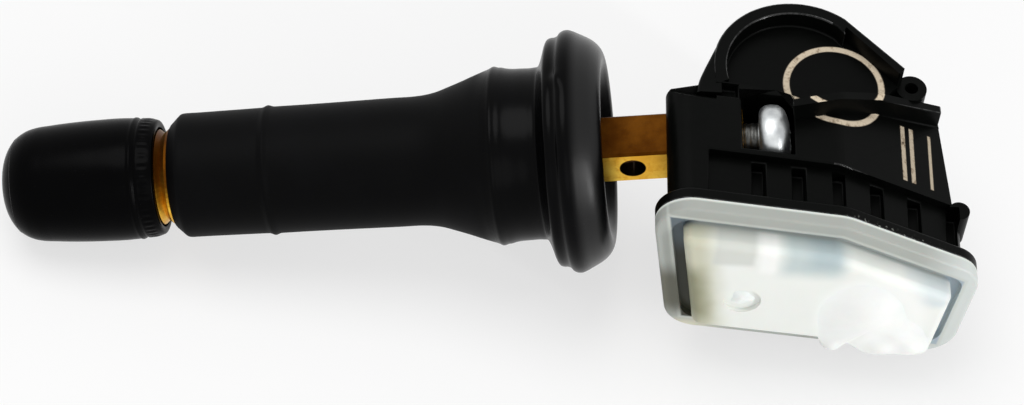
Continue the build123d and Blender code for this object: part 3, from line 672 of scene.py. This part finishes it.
screw = {
    "head": 18.3, "crown": 20.8, "tip": 11.7, "radius": 2.75, "edge": 0.75, "edgePower": 10,
    "bulge": 0.62, "shank": 1.42, "pitch": 0.5, "thread": 0.12,
    "drive": 1.1, "lobes": 6, "lobe": 0.2, "driveDepth": 1.0, "driveWall": 0.08,
    "around": 144, "crownSteps": 60, "edgeSteps": 8, "centre": 0.03, "sharp": 50.0,
    "bright": (0.60, 0.62, 0.62), "dull": (0.42, 0.44, 0.45),  # plated head
    "shankDark": (0.02, 0.02, 0.019), "shankGrey": (0.10, 0.10, 0.095),  # shank, painted much darker than the plated head
    "stain": 800.0, "roughness": 0.32, "bump": 0.004,
}


def screwFinish():
    finish, start = newFinish("screwSteel")
    place, x, _, z = objectPlace(start)
    stain = grain(start, place, screw["stain"], 4.0, 0.6)
    head = stemAlong(x, z).rise(screw["head"] - 0.15, screw["head"] + 0.05)
    plated = stain.rise(0.3, 0.7).tint(screw["dull"], screw["bright"])
    # the shank below the head is painted much darker than the head
    shankTone = stain.rise(0.4, 0.7).tint(screw["shankDark"], screw["shankGrey"])
    roughness = screw["roughness"] + stain * 0.16
    closeFinish(start, head.tint(shankTone, plated), roughness, stain, screw["bump"], metallic=1.0)
    return finish


def makeScrew():
    # turned profile: threaded shank, round-edged head, crown = top - bulge * (radius share)^2,
    # with a six-lobed drive sunk in it
    turn = fullTurn(screw["around"])
    head, radius, edge = screw["head"], screw["radius"], screw["edge"]
    shankAlong = np.arange(screw["tip"], head, screw["pitch"] / 4)
    wave = np.abs((shankAlong / screw["pitch"]) % 1.0 * 2.0 - 1.0)
    shank = np.column_stack([shankAlong, screw["shank"] - screw["thread"] * wave])
    quarter = np.linspace(0.0, np.pi / 2, screw["edgeSteps"])
    underside = np.column_stack([head + edge * (1 - np.cos(quarter)),
                                 radius - edge + edge * np.sin(quarter)])
    share = np.linspace(1.0, screw["centre"], screw["crownSteps"])
    shoulder = np.sqrt(np.clip(1.0 - share**screw["edgePower"], 0.0, 1.0)) * edge
    rimAlong = screw["crown"] - screw["bulge"] - edge
    crown = np.column_stack([rimAlong + shoulder + screw["bulge"] * (1 - share**2), radius * share])
    profile = np.vstack([shank, [[head, screw["shank"]]], underside, crown])
    along, reach = profile[:, :1], profile[:, 1:]
    onCrown = (np.arange(len(profile)) >= len(profile) - len(crown))[:, None]
    wall = screw["drive"] + screw["lobe"] * np.cos(screw["lobes"] * turn)
    sunk = screw["driveDepth"] * np.clip((wall - reach) / screw["driveWall"], 0.0, 1.0) * onCrown
    return pieceFromGrid("tailScrew", stemPoint(along - sunk, reach, turn), sharp=screw["sharp"])


finishes["screw_steel"] = screwFinish()
mount(makeScrew(), "sensor", "screw_steel", "retaining_screw")
print("screw made")

seal = {
    "panel": -11.9, "lift": 0.02, "centre": (27.5, -3.9), "core": 0.02, "rings": 40, "turns": 180,
    "height": 0.42, "sharp": 80.0,
    "outline": [
        (30.4, -3.2), (29.2, -0.5), (27.7, 0.9), (26.1, 1.3), (24.6, 0.7), (23.5, -0.9), (22.9, -2.9),
        (23.2, -5.0), (23.6, -6.6), (24.2, -7.8), (24.8, -8.1), (25.3, -7.6), (25.8, -7.1), (26.4, -7.4),
        (27.3, -8.1), (28.4, -8.4), (29.9, -8.3), (31.5, -8.2), (32.4, -7.8), (32.5, -6.2), (31.8, -4.4)],
    "swells": [  # x, z, reach and height of each swelling
        (26.6, -2.7, 2.4, 0.42), (24.7, -7.4, 0.6, 0.34), (28.7, -7.2, 0.9, 0.36),
        (31.2, -6.9, 1.0, 0.4), (30.0, -5.0, 1.0, 0.25), (24.6, -4.3, 1.0, 0.2)],
    "bluntFrom": -5.5, "bluntFade": 2.0, "feather": 1.5, "blunt": 0.45,  # the last two are powers
    "back": [(0.97, 0.35), (0.85, 0.5)],  # share of the outline and depth of the rings sunk in the panel
    "dim": (0.88, 0.89, 0.87), "white": (0.93, 0.94, 0.92), "cloud": 260.0, "roughness": 0.22,
    "specular": 0.35, "subsurface": 0.1, "softDepth": 1.0, "bump": 0.05,
}


def sealantFinish():
    finish, start = newFinish("sealantSilicone")
    cloud = grain(start, objectPlace(start)[0], seal["cloud"], 4.0)
    colour = cloud.rise(0.3, 0.7).tint(seal["dim"], seal["white"])
    closeFinish(start, colour, seal["roughness"] + cloud * 0.2, cloud, seal["bump"],
                specular=seal["specular"], subsurface=seal["subsurface"], depth=seal["softDepth"] * metre)
    return finish


def makeSealant():
    # rings grow from the centre to the outline; height = base * edge + sum of bell-shaped swellings,
    # edge = (1 - share^2)^power, blunt under the panel's lower edge and feathered elsewhere;
    # the last rings turn back and are sunk in the panel
    loop = smoothLine(seal["outline"] + seal["outline"][:1], seal["turns"] + 1)[:-1]
    front = np.linspace(seal["core"], 1.0, seal["rings"])[:, None]
    low = np.clip((seal["bluntFrom"] - loop[:, 1]) / seal["bluntFade"], 0.0, 1.0)[None, :]
    power = seal["feather"] - (seal["feather"] - seal["blunt"]) * low
    edge = np.clip(1.0 - front**2, 0.0, 1.0)**power
    backShare, backDepth = np.array(seal["back"]).T[:, :, None]
    share = np.vstack([front, backShare])
    x = seal["centre"][0] + share * (loop[:, 0] - seal["centre"][0])
    z = seal["centre"][1] + share * (loop[:, 1] - seal["centre"][1])
    height = seal["height"] * edge
    for swellX, swellZ, reach, rise in seal["swells"]:
        away = ((x - swellX)**2 + (z - swellZ)**2)[:seal["rings"]]
        height = height + rise * np.exp(-away / reach**2) * edge**0.5
    y = seal["panel"] + np.vstack([seal["lift"] - height, backDepth + 0.0 * low])
    return pieceFromGrid("sealantDab", np.stack([x, y, z], axis=-1), sharp=seal["sharp"])


membrane = {
    "x": 16.9, "z": -2.0, "floor": -11.5, "radius": 0.95, "height": 0.3, "centre": 0.04,
    "rings": 16, "turns": 60, "sharp": 80.0,
    "outlineWaves": [(0.1, 3, 0.0), (0.06, 5, 0.7)], "crownWave": (0.25, 3, 1.0),  # size, count, start
}


def makeMembrane():
    # low dome over the pressure port: height = top * (1 - share^2), outline and crown waved round the turn
    share = np.linspace(membrane["centre"], 1.0, membrane["rings"])[:, None]
    turn = fullTurn(membrane["turns"])
    wave = sum(size * np.cos(count * turn + start) for size, count, start in membrane["outlineWaves"])
    reach = membrane["radius"] * share * (1.0 + wave)
    size, count, start = membrane["crownWave"]
    lift = membrane["height"] * (1.0 - share**2) * (1.0 + size * share * np.cos(count * turn + start))
    grid = np.stack([membrane["x"] + reach * np.cos(turn), membrane["floor"] - lift,
                     membrane["z"] + reach * np.sin(turn)], axis=-1)
    return pieceFromGrid("portMembrane", grid, sharp=membrane["sharp"])


finishes["sealant_silicone"] = sealantFinish()
mount(makeSealant(), "sensor", "sealant_silicone", "sealant")
mount(makeMembrane(), "sensor", "sealant_silicone")
print("sealant made")

studio = {
    "floorDrop": 0.05, "floorSize": 900.0, "floorGlow": 0.63, "floorGrain": 9.0,
    "paper": ((0.95, 0.95, 0.95), (0.97, 0.97, 0.97)), "white": (1.0, 1.0, 1.0), "worldLight": 0.47,
    "lamps": [  # name, place, aim, width, height, power in watts
        ("keyLamp", (-90.0, 45.0, 380.0), (0.0, 0.0, 0.0), 300.0, 300.0, 0.74),
        ("fillLamp", (40.0, -300.0, 190.0), (10.0, 0.0, 0.0), 240.0, 240.0, 0.12),
        ("sideLamp", (255.0, -190.0, 70.0), (0.0, 0.0, 0.0), 18.0, 260.0, 0.42),
    ],
}


def backdropMix(start):
    # 1 for rays from the camera, mirrors and glass, which see the plain pale backdrop
    path = start.add("ShaderNodeLightPath", {}, {}, "Is Camera Ray")
    return path | path.output("Is Glossy Ray") | path.output("Is Transmission Ray")


def makeFloor():
    half = studio["floorSize"] / 2
    level = cadBox[0][2] / metre - studio["floorDrop"]
    plan = np.array([(-half, -half), (half, -half), (half, half), (-half, half)])
    corners = np.column_stack([plan, np.full(len(plan), level)])
    mesh = bpy.data.meshes.new("studioFloor")
    mesh.from_pydata((corners * metre).tolist(), [], [(0, 1, 2, 3)])
    floor = linked("studioFloor", mesh)
    finish, start = newFinish("floorPaper")
    cloud = grain(start, objectPlace(start)[0], studio["floorGrain"])
    paper = start.add("ShaderNodeBsdfDiffuse", {}, {"Color": cloud.tint(*studio["paper"])})
    glow = start.add("ShaderNodeEmission", {}, {"Color": colourValue(studio["white"]), "Strength": 1.0})
    seen = backdropMix(start) * studio["floorGlow"]
    mixed = start.add("ShaderNodeMixShader", {}, {0: seen, 1: paper, 2: glow})
    start.add("ShaderNodeOutputMaterial", {}, {"Surface": mixed})
    mesh.materials.append(finish)


def makeWorld():
    world = bpy.data.worlds.new("studioWorld")
    world.use_nodes = True
    world.node_tree.nodes.clear()
    start = Wire(world.node_tree)
    seen = backdropMix(start)
    sockets = {"Color": colourValue(studio["white"]), "Strength": seen + (1.0 - seen) * studio["worldLight"]}
    sky = start.add("ShaderNodeBackground", {}, sockets)
    start.add("ShaderNodeOutputWorld", {}, {"Surface": sky})
    bpy.context.scene.world = world


def makeLamps():
    for name, place, aim, width, height, power in studio["lamps"]:
        lamp = bpy.data.lights.new(name, "AREA")
        lamp.shape = "ELLIPSE"
        lamp.size = width * metre
        lamp.size_y = height * metre
        lamp.energy = power
        stand = linked(name, lamp)
        stand.location = Vector(place) * metre
        stand.rotation_euler = (Vector(aim) - Vector(place)).to_track_quat("-Z", "Y").to_euler()


camera = {
    "place": (-17.5, -179.052, 235.987), "right": (0.99708, 0.01105, 0.07552),
    "up": (-0.05365, 0.80525, 0.59051), "back": (-0.05429, -0.59284, 0.80349),
    "lens": 130.08, "sensor": 36.0, "near": 10.0, "far": 10000.0,
}


def makeCamera():
    lens = bpy.data.cameras.new("photoCamera")
    lens.lens = camera["lens"]
    lens.sensor_width = camera["sensor"]
    lens.sensor_fit = "HORIZONTAL"
    lens.clip_start = camera["near"] * metre
    lens.clip_end = camera["far"] * metre
    eye = linked("photoCamera", lens)
    turn = Matrix([camera["right"], camera["up"], camera["back"]]).transposed().to_4x4()
    eye.matrix_world = Matrix.Translation(Vector(camera["place"]) * metre) @ turn
    bpy.context.scene.camera = eye


makeFloor()
makeWorld()
makeLamps()
makeCamera()
bpy.context.scene.view_settings.view_transform = "Standard"
print("studio made")
